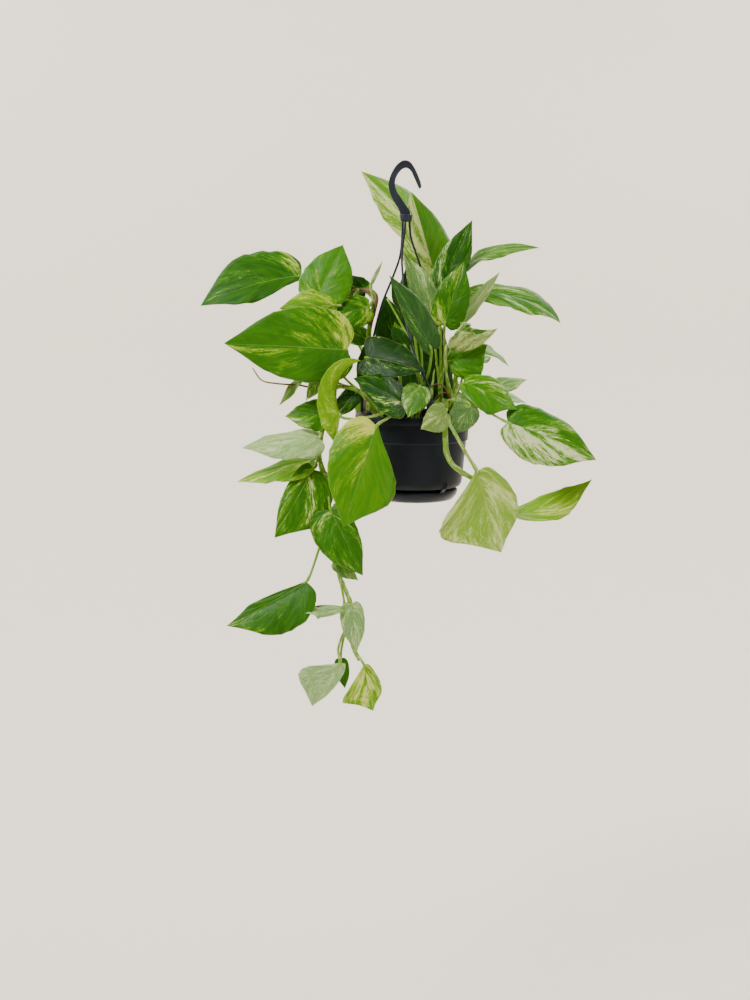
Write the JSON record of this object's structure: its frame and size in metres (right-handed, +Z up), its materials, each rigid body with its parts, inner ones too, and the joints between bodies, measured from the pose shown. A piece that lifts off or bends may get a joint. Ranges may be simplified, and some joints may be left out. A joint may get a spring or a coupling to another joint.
{
  "type": "potted trailing houseplant in a hanging pot",
  "caption": "Variegated heart-leaved trailing vine growing from soil in a round plastic hanging pot with a clipped saucer and a hooked strand hanger.",
  "frame": {"origin": "the point inside the top of the hook that bears on what the basket hangs from", "axes": "+Z up, -Y towards the viewer of the pictured side, +X to that viewer's right"},
  "size_m": [0.4763, 0.2932, 0.6662],
  "materials": {
    "pot_plastic": "satin",
    "hanger_plastic": "satin",
    "soil": "matte",
    "leaf": "satin"
  },
  "bodies": {
    "root": {"pot": "pot_plastic", "saucer": "pot_plastic", "soil": "soil", "hanger_hook": "hanger_plastic", "strand_left": "hanger_plastic", "strand_front": "hanger_plastic", "strand_back": "hanger_plastic", "vine_top_back": "leaf", "vine_top_right": "leaf", "vine_right_high": "leaf", "vine_right_mid": "leaf", "vine_right_low": "leaf", "vine_right_trail": "leaf", "vine_left_high": "leaf", "vine_centre": "leaf", "vine_front_centre": "leaf", "vine_front_left": "leaf", "vine_left_trail": "leaf", "vine_back_left": "leaf", "vine_back": "leaf", "vine_back_right": "leaf"}
  },
  "joints": []
}
